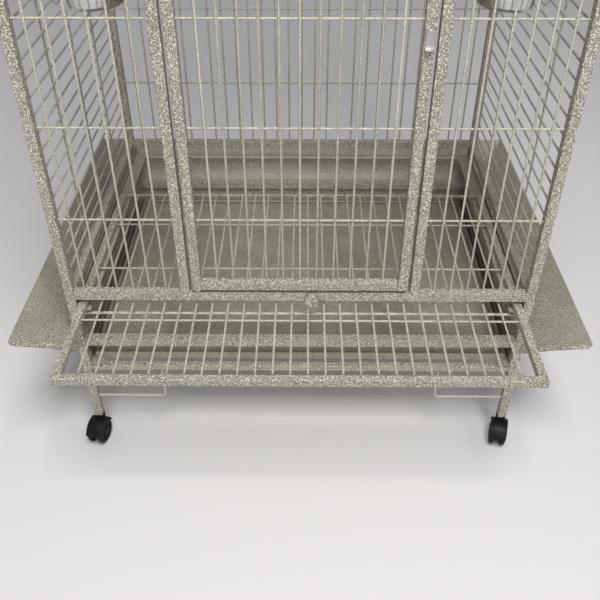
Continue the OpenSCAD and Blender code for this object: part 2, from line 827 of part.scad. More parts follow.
module left_feeder_latch() {
    feeder_latch(-1);
}
module right_feeder_latch() {
    feeder_latch(1);
}

// Grate: a tube in front and at both sides, and a thin bar at the back
module grate_frame() {
    arm_x = (grate_w - grate_tube) / 2;
    bar_x = grate_w / 2 - grate_tube - weld_gap;
    z = grate_top - grate_tube / 2;
    color(coat) {
        tube_x(-grate_w / 2, grate_w / 2, grate_front + grate_tube / 2, z, grate_tube);
        for (s = [-1, 1])
            tube_y(s * arm_x, grate_inner[0] + weld_gap, grate_front + grate_l, z, grate_tube);
        translate([-bar_x, grate_inner[1], grate_top - grate_bar])
            cube([2 * bar_x, grate_bar, grate_bar]);
    }
}
module grate_wires() {
    color(wire_coat)
        for (x = grate_wire_xs)
            wire_y(x, grate_inner[0], grate_inner[1], grate_wire_z);
}
module grate_cross_wires() {
    color(wire_coat)
        for (y = grate_cross_ys)
            wire_x(-grate_w / 2 + grate_tube, grate_w / 2 - grate_tube, y, grate_wire_z - cross_step);
}

// Lock: round knob in front of the rail, with a tongue that turns down before the grate
module grate_lock() {
    collar_t = 3;
    color(coat) translate([knob_x, 0, lock_z]) rotate([90, 0, 0]) {
        translate([0, 0, lock_face + lock_t]) cylinder(r = knob_r, h = knob_t);
        translate([0, 0, inner_y - collar_t])
            cylinder(r = spindle_r, h = tube + collar_t + seat_gap + lock_t);
        translate([0, 0, inner_y - collar_t])
            cylinder(r = 1.5 * spindle_r, h = collar_t - seat_gap);
        translate([0, -lock_w / 2, lock_face]) cube([lock_reach, lock_w, lock_t]);
    }
}

// Tray: a shallow pan of sheet
module tray() {
    color(tray_coat) difference() {
        translate([-tray_w / 2, tray_front, tray_z]) cube([tray_w, tray_l, tray_h]);
        translate([-tray_w / 2 + sheet_t, tray_front + sheet_t, tray_z + sheet_t])
            cube([tray_w - 2 * sheet_t, tray_l - 2 * sheet_t, tray_h]);
    }
}

// Casters: corner as a pair of signs, and the way the axle trails
caster_fl = [[-1, -1], front_left_turn];
caster_fr = [[1, -1], front_right_turn];
caster_rl = [[-1, 1], rear_left_turn];
caster_rr = [[1, 1], rear_right_turn];
module at_caster(c) {
    translate([c[0][0] * post_x, c[0][1] * post_y, 0]) rotate(c[1]) children();
}

// Outlines seen along the axle, with the axle at the origin
module web_outline() {
    circle(wheel_r - 5);
    translate([-caster_trail - boss_r, 0]) square([2 * boss_r, boss_top - wheel_r]);
}
module hood_outline() {
    difference() {
        intersection() {
            circle(hood_r);
            translate([-hood_r, hood_foot]) square([2 * hood_r, hood_r]);
        }
        circle(wheel_r + hood_gap);
    }
}
module upright_slab(outline_w) {
    translate([caster_trail, outline_w / 2, wheel_r]) rotate([90, 0, 0])
        linear_extrude(outline_w) children();
}
module caster(c) {
    color(black) at_caster(c) difference() {
        union() {
            upright_slab(web_t) web_outline();
            upright_slab(wheel_w) hood_outline();
            translate([0, 0, boss_foot]) cylinder(r = boss_r, h = boss_top - boss_foot);
            translate([0, 0, boss_foot]) cylinder(r = stem_r, h = leg_z + stem_grip - boss_foot);
        }
        translate([caster_trail, web_t, wheel_r]) rotate([90, 0, 0])
            cylinder(r = axle_r + fit_gap, h = 2 * web_t);
    }
}
module front_left_caster() {
    caster(caster_fl);
}
module front_right_caster() {
    caster(caster_fr);
}
module rear_left_caster() {
    caster(caster_rl);
}
module rear_right_caster() {
    caster(caster_rr);
}

// One wheel's half section: radius, and distance from the middle of the pair
module wheel_section() {
    in = web_t / 2 + 0.5;
    out = wheel_w / 2;
    polygon([[0, in], [wheel_r - 1, in], [wheel_r, in + 1], [wheel_r, out - 3], [wheel_r - 1, out - 1],
             [wheel_r - 3, out], [wheel_r - 7, out], [wheel_r - 8, out - 2], [9, out - 2], [8, out],
             [0, out]]);
}
module wheels(c) {
    color(black) at_caster(c) translate([caster_trail, 0, wheel_r]) rotate([90, 0, 0]) {
        for (m = [0, 1])
            mirror([0, 0, m]) rotate_extrude($fn = 96) wheel_section();
        cylinder(r = axle_r, h = web_t + 4, center = true);
    }
}
module front_left_wheels() {
    wheels(caster_fl);
}
module front_right_wheels() {
    wheels(caster_fr);
}
module rear_left_wheels() {
    wheels(caster_rl);
}
module rear_right_wheels() {
    wheels(caster_rr);
}

corner_posts();
main_rails();
shoulder_rails();
door_jambs();
feeder_sills();
front_panel_wires();
front_cross_wires();
rear_wall_wires();
rear_cross_wires();
left_wall_wires();
right_wall_wires();
side_stay_wires();
dome_front_arch();
dome_rear_arch();
dome_end_wires();
dome_cross_wires();
dome_roof_wires();
dome_stay_wires();
middle_rails();
bottom_rails();
base_skirts();
grate_runners();
tray_runners();
leg_braces();
left_seed_guard();
right_seed_guard();
rear_seed_guard();
guard_screws();
caster_sockets();
perches();
perch_fasteners();
toy_hook();
cup_holders();
door_frame();
door_wires();
door_cross_wires();
door_pivots();
door_latch();
left_feeder_door();
right_feeder_door();
left_feeder_latch();
right_feeder_latch();
left_cup();
right_cup();
grate_frame();
grate_wires();
grate_cross_wires();
grate_lock();
tray();
front_left_caster();
front_right_caster();
rear_left_caster();
rear_right_caster();
front_left_wheels();
front_right_wheels();
rear_left_wheels();
rear_right_wheels();
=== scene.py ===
import json
import math

import bpy
from mathutils import Matrix, Vector


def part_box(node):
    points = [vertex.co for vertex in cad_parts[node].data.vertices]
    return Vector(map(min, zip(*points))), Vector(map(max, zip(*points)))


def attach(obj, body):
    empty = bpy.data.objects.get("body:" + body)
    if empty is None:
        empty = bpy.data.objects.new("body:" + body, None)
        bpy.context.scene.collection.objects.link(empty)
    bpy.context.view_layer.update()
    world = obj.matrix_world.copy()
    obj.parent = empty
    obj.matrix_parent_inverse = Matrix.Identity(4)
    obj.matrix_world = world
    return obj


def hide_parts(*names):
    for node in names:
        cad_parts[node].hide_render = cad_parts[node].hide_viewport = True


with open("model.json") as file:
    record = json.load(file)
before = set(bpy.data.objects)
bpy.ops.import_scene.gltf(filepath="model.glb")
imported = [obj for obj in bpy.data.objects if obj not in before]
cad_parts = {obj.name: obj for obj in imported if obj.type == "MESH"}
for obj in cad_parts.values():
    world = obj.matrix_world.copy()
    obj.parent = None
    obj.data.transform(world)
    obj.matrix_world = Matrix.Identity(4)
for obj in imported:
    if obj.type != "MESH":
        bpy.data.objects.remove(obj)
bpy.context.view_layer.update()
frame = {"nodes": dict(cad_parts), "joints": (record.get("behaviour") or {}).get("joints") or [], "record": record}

nodes = frame["nodes"]
scene = bpy.context.scene
scene.view_settings.view_transform = "Standard"

# Camera: in front of the cage and above it, looking down
cameraSettings = {"place": (0.0074, -1.3006, 1.1582), "lookDown": 38.53, "turnLeft": 0.41, "lens": 44.69,
                  "sensor": 36.0, "nearest": 0.01}


def addCamera(settings):
    cameraData = bpy.data.cameras.new("photoCamera")
    camera = bpy.data.objects.new("photoCamera", cameraData)
    scene.collection.objects.link(camera)
    cameraData.sensor_width = settings["sensor"]
    cameraData.lens = settings["lens"]
    cameraData.clip_start = settings["nearest"]
    camera.location = settings["place"]
    camera.rotation_euler = (math.radians(90 - settings["lookDown"]), 0, math.radians(settings["turnLeft"]))
    scene.camera = camera


addCamera(cameraSettings)
print("camera set")


# Materials

def newMaterial(name):
    material = bpy.data.materials.new(name)
    material.use_nodes = True
    tree = material.node_tree
    shader = tree.nodes["Principled BSDF"]
    return material, tree, shader


def addNode(tree, kind, inputs=None, **settings):
    made = tree.nodes.new(kind)
    for key, value in settings.items():
        setattr(made, key, value)
    for key, value in (inputs or {}).items():
        if hasattr(value, "is_output"):
            tree.links.new(value, made.inputs[key])
        else:
            made.inputs[key].default_value = value
    return made


def ramp(tree, factor, stops):
    made = addNode(tree, "ShaderNodeValToRGB", {"Fac": factor})
    elements = made.color_ramp.elements
    while len(elements) < len(stops):
        elements.new(0.5)
    for element, (place, colour) in zip(elements, stops):
        element.position = place
        element.color = (*colour, 1)
    return made.outputs["Color"]


# A grey made from one value, as a ramp's stop needs it
def grey(value):
    return (value, value, value)


def mixColour(tree, factor, first, second):
    made = addNode(tree, "ShaderNodeMix", data_type="RGBA")
    for key, kind, value in (("Factor", "VALUE", factor), ("A", "RGBA", first), ("B", "RGBA", second)):
        socket = [entry for entry in made.inputs if entry.name == key and entry.type == kind][0]
        if hasattr(value, "is_output"):
            tree.links.new(value, socket)
        else:
            socket.default_value = (*value, 1)
    return [entry for entry in made.outputs if entry.type == "RGBA"][0]


def timesStrength(tree, factor, strength):
    return addNode(tree, "ShaderNodeMath", {0: factor, 1: strength}, operation="MULTIPLY").outputs["Value"]


def objectCoordinates(tree):
    return addNode(tree, "ShaderNodeTexCoord").outputs["Object"]


def grainNoise(tree, scale, detail, roughness=0.5):
    place = objectCoordinates(tree)
    return addNode(tree, "ShaderNodeTexNoise", {"Vector": place, "Scale": scale, "Detail": detail,
                                                "Roughness": roughness}).outputs["Fac"]


def addBump(tree, shader, height, strength, distance):
    bump = addNode(tree, "ShaderNodeBump", {"Height": height, "Strength": strength, "Distance": distance})
    tree.links.new(bump.outputs["Normal"], shader.inputs["Normal"])


# How the coat is mixed: noises for dark specks, light flecks and wide clouds, and the width of a speck's edge
coatMix = {"speckDetail": 2.5, "speckRough": 0.65, "fleckScale": 0.7, "fleckDetail": 2.0, "fleckRough": 0.6,
           "cloudScale": 22.0, "cloudDetail": 3.0, "cloudDark": 0.88, "cloudLight": 1.1, "edge": 0.04,
           "low": 0.3, "high": 0.7, "smoother": 0.85, "rougher": 1.15, "bumpDistance": 0.0005}


# Powder coat with dark and light specks, as on the frame, the sheet and the wire
def specklyCoat(name, look, mix):
    material, tree, shader = newMaterial(name)
    base, dark, light = look["base"], look["dark"], look["light"]
    low, high, edge = mix["low"], mix["high"], mix["edge"]
    speck = grainNoise(tree, look["speckScale"], mix["speckDetail"], mix["speckRough"])
    fleck = grainNoise(tree, look["speckScale"] * mix["fleckScale"], mix["fleckDetail"], mix["fleckRough"])
    cloud = grainNoise(tree, mix["cloudScale"], mix["cloudDetail"])
    ground = ramp(tree, cloud, [(low, [channel * mix["cloudDark"] for channel in base]),
                                (high, [channel * mix["cloudLight"] for channel in base])])
    darkPart = ramp(tree, speck, [(look["darkShare"] - edge, grey(1)), (look["darkShare"] + edge, grey(0))])
    lightPart = ramp(tree, fleck, [(look["lightShare"] - edge, grey(0)), (look["lightShare"] + edge, grey(1))])
    colour = mixColour(tree, timesStrength(tree, lightPart, look["lightStrength"]), ground, light)
    colour = mixColour(tree, timesStrength(tree, darkPart, look["darkStrength"]), colour, dark)
    tree.links.new(colour, shader.inputs["Base Color"])
    rough = ramp(tree, fleck, [(low, grey(look["roughness"] * mix["smoother"])),
                               (high, grey(look["roughness"] * mix["rougher"]))])
    tree.links.new(rough, shader.inputs["Roughness"])
    addBump(tree, shader, speck, look["bump"], mix["bumpDistance"])
    return material


# The looks of the coat: a warm grey, with weaker specks on the sheet, the wire and the tray
coatLook = {"base": (0.285, 0.263, 0.210), "dark": (0.03, 0.026, 0.02), "light": (0.76, 0.72, 0.62),
            "speckScale": 620.0, "darkShare": 0.45, "darkStrength": 0.92, "lightShare": 0.55,
            "lightStrength": 0.95, "roughness": 0.52, "bump": 0.35}
sheetLook = {**coatLook, "base": (0.315, 0.297, 0.238), "lightStrength": 0.45, "darkStrength": 0.75,
             "bump": 0.25}
wireLook = {**coatLook, "base": (0.41, 0.39, 0.32), "darkStrength": 0.5, "lightStrength": 0.5, "bump": 0.15}
trayLook = {**coatLook, "base": (0.29, 0.267, 0.21), "lightStrength": 0.35, "darkStrength": 0.55,
            "bump": 0.25}
frameCoat = specklyCoat("frameCoat", coatLook, coatMix)
sheetCoat = specklyCoat("sheetCoat", sheetLook, coatMix)
wireCoat = specklyCoat("wireCoat", wireLook, coatMix)
trayCoat = specklyCoat("trayCoat", trayLook, coatMix)


plasticGrain = {"scale": 260.0, "detail": 3.0, "low": 0.3, "high": 0.7, "darker": 0.8, "lighter": 1.5,
                "specular": 0.2, "bump": 0.12, "bumpDistance": 0.0003}


def blackPlastic(name, tone, roughness, grain):
    material, tree, shader = newMaterial(name)
    noise = grainNoise(tree, grain["scale"], grain["detail"])
    colour = ramp(tree, noise, [(grain["low"], grey(tone * grain["darker"])),
                                (grain["high"], grey(tone * grain["lighter"]))])
    tree.links.new(colour, shader.inputs["Base Color"])
    shader.inputs["Roughness"].default_value = roughness
    shader.inputs["Specular IOR Level"].default_value = grain["specular"]
    addBump(tree, shader, noise, grain["bump"], grain["bumpDistance"])
    return material


steelStreaks = {"scale": 180.0, "detail": 4.0, "low": 0.3, "high": 0.7, "darker": 0.88, "lighter": 1.08,
                "roughLow": 0.2, "roughHigh": 0.8, "smoother": 0.8, "rougher": 1.25}


def plainSteel(name, tone, roughness, streaks):
    material, tree, shader = newMaterial(name)
    noise = grainNoise(tree, streaks["scale"], streaks["detail"])
    colour = ramp(tree, noise, [(streaks["low"], grey(tone * streaks["darker"])),
                                (streaks["high"], grey(tone * streaks["lighter"]))])
    rough = ramp(tree, noise, [(streaks["roughLow"], grey(roughness * streaks["smoother"])),
                               (streaks["roughHigh"], grey(roughness * streaks["rougher"]))])
    tree.links.new(colour, shader.inputs["Base Color"])
    tree.links.new(rough, shader.inputs["Roughness"])
    shader.inputs["Metallic"].default_value = 1.0
    return material


# Wood with its grain along the perch
woodGrain = {"stretch": (6.0, 160.0, 160.0), "detail": 6.0, "roughness": 0.6, "bump": 0.3,
             "bumpDistance": 0.0005,
             "colours": [(0.25, (0.30, 0.17, 0.075)), (0.5, (0.50, 0.32, 0.16)), (0.75, (0.62, 0.44, 0.25))]}


def dowelWood(name, grain):
    material, tree, shader = newMaterial(name)
    place = addNode(tree, "ShaderNodeMapping", {"Vector": objectCoordinates(tree), "Scale": grain["stretch"]})
    noise = addNode(tree, "ShaderNodeTexNoise", {"Vector": place.outputs["Vector"], "Scale": 1.0,
                                                 "Detail": grain["detail"]}).outputs["Fac"]
    tree.links.new(ramp(tree, noise, grain["colours"]), shader.inputs["Base Color"])
    shader.inputs["Roughness"].default_value = grain["roughness"]
    addBump(tree, shader, noise, grain["bump"], grain["bumpDistance"])
    return material


socketBlack = blackPlastic("socketBlack", tone=0.012, roughness=0.55, grain=plasticGrain)
casterBlack = blackPlastic("casterBlack", tone=0.006, roughness=0.45, grain=plasticGrain)
wheelBlack = blackPlastic("wheelBlack", tone=0.008, roughness=0.55, grain=plasticGrain)
zincSteel = plainSteel("zincSteel", tone=0.55, roughness=0.38, streaks=steelStreaks)
cupSteel = plainSteel("cupSteel", tone=0.62, roughness=0.16, streaks=steelStreaks)
perchWood = dowelWood("perchWood", woodGrain)

nodeFinish = {
    "frame_coat": frameCoat, "sheet_coat": sheetCoat, "wire_coat": wireCoat, "feeder_coat": frameCoat,
    "knob_coat": frameCoat, "tray_coat": trayCoat, "perch_wood": perchWood, "fastener_steel": zincSteel,
    "latch_steel": zincSteel, "cup_steel": cupSteel, "socket_plastic": socketBlack,
    "caster_plastic": casterBlack, "wheel_plastic": wheelBlack,
}
slotOfNode = {entry["node"]: entry["material_slot"] for entry in frame["record"]["subparts"]}
for name, node in nodes.items():
    finish = nodeFinish[slotOfNode[name]]
    node.data.materials.clear()
    node.data.materials.append(finish)
print("materials on", len(nodes), "nodes")

# Softened edges on tubes, latches and plastic: the loose triangles are welded, then bevelled
softEdges = {
    "widths": {"frame_coat": 0.0014, "feeder_coat": 0.0010, "knob_coat": 0.0012, "latch_steel": 0.0006,
               "socket_plastic": 0.0008, "caster_plastic": 0.0008},
    "weld": 0.00001, "segments": 2, "angle": 40,
}
for name, node in nodes.items():
    width = softEdges["widths"].get(slotOfNode[name])
    weld = node.modifiers.new("weld", "WELD")
    weld.merge_threshold = softEdges["weld"]
    if width:
        bevel = node.modifiers.new("bevel", "BEVEL")
        bevel.width = width
        bevel.segments = softEdges["segments"]
        bevel.limit_method = "ANGLE"
        bevel.angle_limit = math.radians(softEdges["angle"])
print("edges softened")

# Modelling helpers. An operator acts on all that is selected, so everything is let go of first.
mostly = 0.9  # a face looks along an axis when this much of its normal does


def letGo():
    if bpy.context.object and bpy.context.object.mode != "OBJECT":
        bpy.ops.object.mode_set(mode="OBJECT")
    bpy.ops.object.select_all(action="DESELECT")


def lastMade():
    bpy.ops.object.transform_apply(location=False, rotation=True, scale=True)
    return bpy.context.active_object


def pickFaces(piece, test):
    bpy.ops.object.mode_set(mode="OBJECT")
    bpy.context.tool_settings.mesh_select_mode = (False, False, True)
    for items in (piece.data.vertices, piece.data.edges, piece.data.polygons):
        items.foreach_set("select", [False] * len(items))
    for face in piece.data.polygons:
        face.select = test(face)
    bpy.ops.object.mode_set(mode="EDIT")


def insetAndMove(thickness, move):
    bpy.ops.mesh.inset(thickness=thickness)
    bpy.ops.transform.translate(value=move)


def roundOff(piece, width, segments=2):
    bpy.ops.object.mode_set(mode="OBJECT")
    bevel = piece.modifiers.new("round", "BEVEL")
    bevel.width = width
    bevel.segments = segments
    bevel.limit_method = "ANGLE"
    bpy.ops.object.modifier_apply(modifier="round")


# The edges of the last piece made become a round rod
def edgesToRod(radius):
    bpy.ops.object.convert(target="CURVE")
    curve = bpy.context.active_object
    curve.data.bevel_depth = radius
    curve.data.bevel_resolution = 2
    bpy.ops.object.convert(target="MESH")
    return bpy.context.active_object


def copyTo(piece, matrix):
    twin = piece.copy()
    twin.data = piece.data.copy()
    scene.collection.objects.link(twin)
    twin.matrix_world = matrix @ piece.matrix_world
    return twin


def finishPiece(name, parts, body, slotName, smooth=35):
    letGo()
    for part in parts:
        part.select_set(True)
    bpy.context.view_layer.objects.active = parts[0]
    if len(parts) > 1:
        bpy.ops.object.join()
    piece = bpy.context.view_layer.objects.active
    bpy.ops.object.transform_apply(location=True, rotation=True, scale=True)
    bpy.ops.object.shade_smooth_by_angle(angle=math.radians(smooth))
    piece.name = name
    piece.data.name = name
    piece.data.materials.clear()
    piece.data.materials.append(nodeFinish[slotName])
    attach(piece, body)
    return piece


# Plugs in the open ends of the grate's tubes: the front tube's, and the arms' at the back
gratePlugs = {"wall": 0.0014, "thick": 0.003, "rim": 0.002, "dent": 0.0008, "round": 0.0005}


def addGratePlugs(look):
    low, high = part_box("grate_frame")
    side = high.z - low.z
    inside = side - 2 * look["wall"]
    letGo()
    bpy.ops.mesh.primitive_cube_add(size=1, location=(0, 0, -look["thick"] / 2),
                                    scale=(inside, inside, look["thick"]))
    plug = lastMade()
    pickFaces(plug, lambda face: face.normal.z > mostly)
    insetAndMove(look["rim"], (0, 0, -look["dent"]))
    roundOff(plug, look["round"])
    made = []
    for sign, outside in ((-1, low.x), (1, high.x)):
        across = Matrix.Translation((outside, low.y + side / 2, high.z - side / 2))
        behind = Matrix.Translation((outside - sign * side / 2, high.y, high.z - side / 2))
        made.append(copyTo(plug, across @ Matrix.Rotation(sign * math.pi / 2, 4, "Y")))
        made.append(copyTo(plug, behind @ Matrix.Rotation(-math.pi / 2, 4, "X")))
    bpy.data.objects.remove(plug)
    finishPiece("grate_tube_plugs", made, "grate", "frame_coat")


# Grip of the lock knob: flutes round it, and a dished face with a raised middle
knobGrip = {"proud": 0.0006, "ahead": 0.0004, "length": 0.0108, "flutes": 12, "facesPerFlute": 4,
            "fluteDeep": 0.0007, "rim": 0.0022, "dish": 0.0014, "boss": 0.0034, "bossUp": -0.0007,
            "round": 0.0004}


def addKnobGrip(look):
    low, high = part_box("grate_lock")
    knobR = (high.z - low.z) / 2
    letGo()
    bpy.ops.mesh.primitive_cylinder_add(
        vertices=look["facesPerFlute"] * look["flutes"], radius=knobR + look["proud"], depth=look["length"],
        location=(low.x + knobR, low.y - look["ahead"] + look["length"] / 2, high.z - knobR),
        rotation=(math.pi / 2, 0, 0))
    knob = lastMade()

    # The first half of each flute's share of the circle is sunk, the second half stands proud
    def onFlute(face):
        turn = math.atan2(face.center.z, face.center.x) / (2 * math.pi) * look["flutes"]
        return abs(face.normal.y) < 0.5 and (turn % 1.0) < 0.5

    pickFaces(knob, onFlute)
    bpy.ops.mesh.extrude_region()
    bpy.ops.transform.shrink_fatten(value=-look["fluteDeep"])
    pickFaces(knob, lambda face: face.normal.y < -mostly)
    insetAndMove(look["rim"], (0, look["dish"], 0))
    insetAndMove(look["boss"], (0, look["bossUp"], 0))
    roundOff(knob, look["round"])
    finishPiece("lock_knob_grip", [knob], "grate_lock_body", "knob_coat")


# Trim of a wheel pair: a stepped hub cap and ribs in the hollow of each wheel
wheelTrim = {"pairWidth": 0.031, "hubR": 0.0080, "hubSides": 24, "hubThick": 0.003, "hubUp": 0.0002,
             "step": 0.0018, "stepUp": 0.0007, "ribs": 6, "ribFrom": 0.0085, "ribTo": 0.0172, "ribWide": 0.0022,
             "ribDeep": 0.0018, "ribFoot": 0.002, "ribTop": 0.6, "round": 0.0004}


def addWheelTrim(corner, look):
    spin = [joint for joint in frame["joints"] if joint["name"] == corner + "_wheel_spin"][0]
    face = look["pairWidth"] / 2
    letGo()
    bpy.ops.mesh.primitive_cylinder_add(vertices=look["hubSides"], radius=look["hubR"], depth=look["hubThick"],
                                        location=(0, 0, face - look["hubThick"] / 2 + look["hubUp"]))
    hub = lastMade()
    pickFaces(hub, lambda side: side.normal.z > mostly)
    insetAndMove(look["step"], (0, 0, look["stepUp"]))
    insetAndMove(look["step"], (0, 0, -look["stepUp"]))
    roundOff(hub, look["round"])
    letGo()
    ribMiddle = ((look["ribFrom"] + look["ribTo"]) / 2, 0, face - look["ribFoot"] + look["ribDeep"] / 2)
    bpy.ops.mesh.primitive_cube_add(
        size=1, location=ribMiddle, scale=(look["ribTo"] - look["ribFrom"], look["ribWide"], look["ribDeep"]))
    rib = lastMade()
    pickFaces(rib, lambda side: side.normal.z > mostly)
    bpy.ops.transform.resize(value=(1, look["ribTop"], 1))
    bpy.ops.object.mode_set(mode="OBJECT")
    parts = [hub, rib]
    for k in range(1, look["ribs"]):
        parts.append(copyTo(rib, Matrix.Rotation(2 * math.pi * k / look["ribs"], 4, "Z")))
    for part in list(parts):
        parts.append(copyTo(part, Matrix.Rotation(math.pi, 4, "X")))
    turned = Vector(spin["axis"]).to_track_quat("Z", "Y").to_matrix().to_4x4()
    place = Matrix.Translation(spin["pos_m"]) @ turned
    for part in parts:
        part.matrix_world = place @ part.matrix_world
    finishPiece(corner + "_wheel_trim", parts, corner + "_wheel_pair", "wheel_plastic")


# Pan heads of the guards' screws, with a hexagon socket
screwHeads = {"pitch": 0.22, "count": 3, "headR": 0.0032, "sides": 18, "headThick": 0.002,
              "dome": 0.0007, "domeSteps": 2, "flat": 0.99, "leastTop": 1e-6, "socket": 0.0012,
              "socketDeep": 0.0009}


def addScrewHeads(look):
    low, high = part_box("guard_screws")
    letGo()
    bpy.ops.mesh.primitive_cylinder_add(vertices=look["sides"], radius=look["headR"], depth=look["headThick"],
                                        location=(0, 0, look["headThick"] / 2))
    head = lastMade()
    pickFaces(head, lambda face: face.normal.z > mostly)
    bpy.ops.mesh.bevel(offset=look["dome"], segments=look["domeSteps"])
    pickFaces(head, lambda face: face.normal.z > look["flat"] and face.area > look["leastTop"])
    insetAndMove(look["socket"], (0, 0, 0))
    bpy.ops.mesh.extrude_region()
    bpy.ops.transform.translate(value=(0, 0, -look["socketDeep"]))
    bpy.ops.object.mode_set(mode="OBJECT")
    z = (low.z + high.z) / 2
    parts = []
    for k in range(look["count"]):
        along = (k - (look["count"] - 1) / 2) * look["pitch"]
        for x, turn in ((low.x + look["headThick"], -math.pi / 2), (high.x - look["headThick"], math.pi / 2)):
            parts.append(copyTo(head, Matrix.Translation((x, along, z)) @ Matrix.Rotation(turn, 4, "Y")))
        parts.append(copyTo(head, Matrix.Translation((along, high.y - look["headThick"], z))
                            @ Matrix.Rotation(-math.pi / 2, 4, "X")))
    bpy.data.objects.remove(head)
    heads = finishPiece("guard_screw_heads", parts, "cage_frame", "fastener_steel")
    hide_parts("guard_screws")


# Rolled rim round the tray's upper edge
trayRim = {"rodR": 0.0022, "cornerR": 0.006, "cornerSteps": 5}


def addTrayRim(look):
    low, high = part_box("tray")
    rod = look["rodR"]
    letGo()
    bpy.ops.mesh.primitive_plane_add(
        size=1, location=((low.x + high.x) / 2, (low.y + high.y) / 2, high.z - rod))
    bpy.ops.transform.resize(value=(high.x - low.x - 2 * rod, high.y - low.y - 2 * rod, 1))
    lastMade()
    bpy.ops.object.mode_set(mode="EDIT")
    bpy.ops.mesh.select_all(action="SELECT")
    bpy.ops.mesh.bevel(offset=look["cornerR"], segments=look["cornerSteps"], affect="VERTICES")
    bpy.ops.mesh.delete(type="ONLY_FACE")
    bpy.ops.object.mode_set(mode="OBJECT")
    finishPiece("tray_rim", [edgesToRod(rod)], "tray_body", "tray_coat", smooth=60)


# Weld beads where wires stand on a tube: rows of low collars
weldBead = {"foot": 0.0033, "neck": 0.0023, "height": 0.0022, "sides": 8, "cap": 0.0003, "capUp": 0.0002,
            "wire": 0.0036, "pitch": 0.02825, "gratePitch": 0.0277}


def beadRow(start, step, count, towards, look):
    letGo()
    bpy.ops.mesh.primitive_cone_add(vertices=look["sides"], radius1=look["foot"], radius2=look["neck"],
                                    depth=look["height"])
    bead = lastMade()
    pickFaces(bead, lambda face: face.normal.z > mostly)
    insetAndMove(look["cap"], (0, 0, look["capUp"]))
    bpy.ops.object.mode_set(mode="OBJECT")
    turned = Vector(towards).to_track_quat("Z", "Y").to_matrix().to_4x4()
    bead.matrix_world = turned @ Matrix.Translation((0, 0, look["height"] / 2))
    bpy.ops.object.transform_apply(location=True, rotation=True, scale=True)
    rows = bead.modifiers.new("rows", "ARRAY")
    rows.use_relative_offset = False
    rows.use_constant_offset = True
    rows.constant_offset_displace = step
    rows.count = count
    bpy.ops.object.modifier_apply(modifier="rows")
    bead.location = start
    return bead


def addWireBeads(look):
    pitch, half = look["pitch"], look["wire"] / 2
    for node, name, body in (("door_wires", "door_weld_beads", "main_door"),
                             ("rear_wall_wires", "rear_weld_beads", "cage_frame")):
        low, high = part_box(node)
        count = round((high.x - low.x - 2 * half) / pitch) + 1
        y = (low.y + high.y) / 2
        rows = [beadRow((low.x + half, y, low.z), (pitch, 0, 0), count, (0, 0, 1), look),
                beadRow((low.x + half, y, high.z), (pitch, 0, 0), count, (0, 0, -1), look)]
        finishPiece(name, rows, body, "wire_coat")
    low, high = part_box("grate_wires")
    step = (look["gratePitch"], 0, 0)
    count = round((high.x - low.x - 2 * half) / step[0]) + 1
    z = (low.z + high.z) / 2
    rows = [beadRow((low.x + half, low.y, z), step, count, (0, 1, 0), look),
            beadRow((low.x + half, high.y, z), step, count, (0, -1, 0), look)]
    finishPiece("grate_weld_beads", rows, "grate", "wire_coat")
    low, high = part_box("front_panel_wires")
    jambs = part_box("door_jambs")[1].x
    count = int((high.x - half - jambs) / pitch) + 1
    rows = []
    for start in (low.x + half, high.x - half - (count - 1) * pitch):
        rows.append(beadRow((start, (low.y + high.y) / 2, low.z), (pitch, 0, 0), count, (0, 0, 1), look))
        rows.append(beadRow((start, (low.y + high.y) / 2, high.z), (pitch, 0, 0), count, (0, 0, -1), look))
    finishPiece("front_weld_beads", rows, "cage_frame", "wire_coat")


# Thumb lip at the free end of each latch, and the domed heads of its spindle
latchTrim = {"wide": 0.0108, "thick": 0.0016, "root": 0.004, "sunk": 0.0003, "reach": 0.0035,
             "lift": 0.0009, "narrow": 0.82, "round": 0.0004, "endUp": 0.0022, "headR": 0.0048,
             "headSides": 24, "headThick": 0.0012, "dome": 0.0006, "domeSteps": 3}


def addLatchTrim(node, body, look):
    low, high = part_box(node)
    centre = (low.x + high.x) / 2
    pivot = high.z - (high.x - low.x) / 2
    letGo()
    bpy.ops.mesh.primitive_cube_add(
        size=1, location=(centre, low.y + look["sunk"] - look["root"] / 2, low.z + look["endUp"]),
        scale=(look["wide"], look["root"], look["thick"]))
    lip = lastMade()
    pickFaces(lip, lambda face: face.normal.y < -mostly)
    bpy.ops.mesh.extrude_region()
    bpy.ops.transform.translate(value=(0, -look["reach"], look["lift"]))
    bpy.ops.transform.resize(value=(look["narrow"], 1, 1))
    roundOff(lip, look["round"])
    parts = [lip]
    for outside, away in ((low.y, -1), (high.y, 1)):
        letGo()
        bpy.ops.mesh.primitive_cylinder_add(
            vertices=look["headSides"], radius=look["headR"], depth=look["headThick"],
            location=(centre, outside + away * look["headThick"] / 2, pivot),
            rotation=(-away * math.pi / 2, 0, 0))
        head = lastMade()
        pickFaces(head, lambda face: away * face.normal.y > mostly)
        bpy.ops.mesh.bevel(offset=look["dome"], segments=look["domeSteps"])
        bpy.ops.object.mode_set(mode="OBJECT")
        parts.append(head)
    finishPiece(node + "_trim", parts, body, "latch_steel")


# Rolled edge under the flat rim of each cup
cupRoll = {"rodR": 0.0016, "points": 48}


def addCupRoll(side, look):
    low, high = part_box(side + "_cup")
    rod = look["rodR"]
    letGo()
    bpy.ops.mesh.primitive_circle_add(
        vertices=look["points"], radius=(high.x - low.x) / 2 - rod,
        location=((low.x + high.x) / 2, (low.y + high.y) / 2, high.z - rod))
    lastMade()
    finishPiece(side + "_cup_roll", [edgesToRod(rod)], side + "_cup_body", "cup_steel", smooth=60)


# Weld seams where a rail meets a post, and where an arch stands on its post
tubeSeam = {"thick": 0.0014, "proud": 0.0004, "round": 0.0004}


